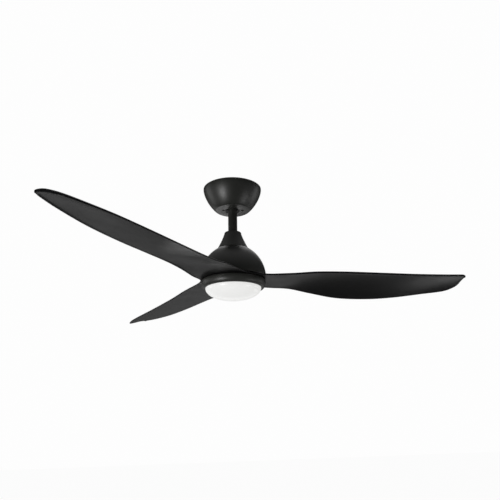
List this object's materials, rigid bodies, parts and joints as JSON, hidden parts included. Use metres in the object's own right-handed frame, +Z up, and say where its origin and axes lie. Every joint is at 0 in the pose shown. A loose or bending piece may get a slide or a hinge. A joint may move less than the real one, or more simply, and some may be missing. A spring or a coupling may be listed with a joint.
{
  "type": "ceiling fan with light",
  "caption": "Ceiling fan with long swept blades on a short downrod, a bell-shaped motor housing and a round opal LED light under the hub.",
  "frame": {"origin": "centre of the hanger bracket's top face, where it meets the ceiling", "axes": "+Z up along the fan's axis of rotation, away from the room; +X along the bracket's two ceiling slots"},
  "size_m": [1.0145, 1.1435, 0.324],
  "materials": {
    "satin_black": "satin powder coat",
    "blade_black": "fine satin moulded plastic",
    "cover_black": "satin moulded plastic",
    "zinc_steel": "zinc plated",
    "polished_steel": "ground steel",
    "lamination": "stacked steel",
    "cast_case": "cast, dark grey",
    "copper_wire": "enamelled winding wire",
    "brass": "turned",
    "board": "solder mask",
    "white_plastic": "moulded",
    "nylon": "natural nylon",
    "black_nylon": "moulded nylon",
    "magnet": "sintered, coated",
    "rubber": "soft",
    "led": "phosphor",
    "opal": "opal acrylic",
    "wire": "insulation",
    "painted_plate": "white"
  },
  "bodies": {
    "mounting": {"hanger_bracket": "zinc_steel", "canopy": "satin_black", "canopy_screws": "satin_black", "receiver_case": "white_plastic", "receiver_lid": "white_plastic", "receiver_board": "board", "terminal_block": "white_plastic", "earth_screw": "brass"},
    "ball_seat": {"ball_liner": "nylon"},
    "fan_frame": {"hanger_ball": "black_nylon", "ball_pin": "polished_steel", "ball_set_screw": "zinc_steel", "downrod": "satin_black", "lead_wires": "wire", "lead_connector": "white_plastic", "motor_coupler": "zinc_steel", "coupler_pin": "polished_steel", "cotter_clip": "polished_steel", "coupler_set_screws": "zinc_steel", "coupling_cover": "cover_black", "motor_housing": "satin_black", "housing_screws": "zinc_steel", "controller_posts": "brass", "controller_board": "board", "motor_shaft": "polished_steel", "stator_core": "lamination", "stator_windings": "copper_wire", "upper_inner_race": "polished_steel", "lower_inner_race": "polished_steel", "shaft_nut": "zinc_steel", "light_plate": "painted_plate", "light_ring": "cover_black", "ring_screws": "zinc_steel", "led_driver": "white_plastic", "led_posts": "brass", "led_board": "painted_plate", "led_chips": "led"},
    "rotor": {"rotor_case_top": "cast_case", "rotor_case_bottom": "cast_case", "rotor_screws": "zinc_steel", "rotor_magnets": "magnet", "upper_outer_race": "polished_steel", "lower_outer_race": "polished_steel", "bearing_balls": "polished_steel", "blade_pads": "rubber", "blade_screws": "zinc_steel", "blade_1": "blade_black", "blade_2": "blade_black", "blade_3": "blade_black"},
    "diffuser": {"diffuser": "opal"}
  },
  "joints": [
    {"name": "swing_x", "type": "hinge", "parent": "mounting", "child": "ball_seat", "pos_m": [0, 0, -0.042], "axis": [1, 0, 0], "range_deg": [-5, 5]},
    {"name": "swing_y", "type": "hinge", "parent": "ball_seat", "child": "fan_frame", "pos_m": [0, 0, -0.042], "axis": [0, 1, 0], "range_deg": [-5, 5]},
    {"name": "rotor_spin", "type": "hinge", "parent": "fan_frame", "child": "rotor", "pos_m": [0, 0, -0.24], "axis": [0, 0, 1], "continuous": true},
    {"name": "diffuser_twist", "type": "hinge", "parent": "fan_frame", "child": "diffuser", "pos_m": [0, 0, -0.29], "axis": [0, 0, 1], "range_deg": [0, 20]}
  ]
}
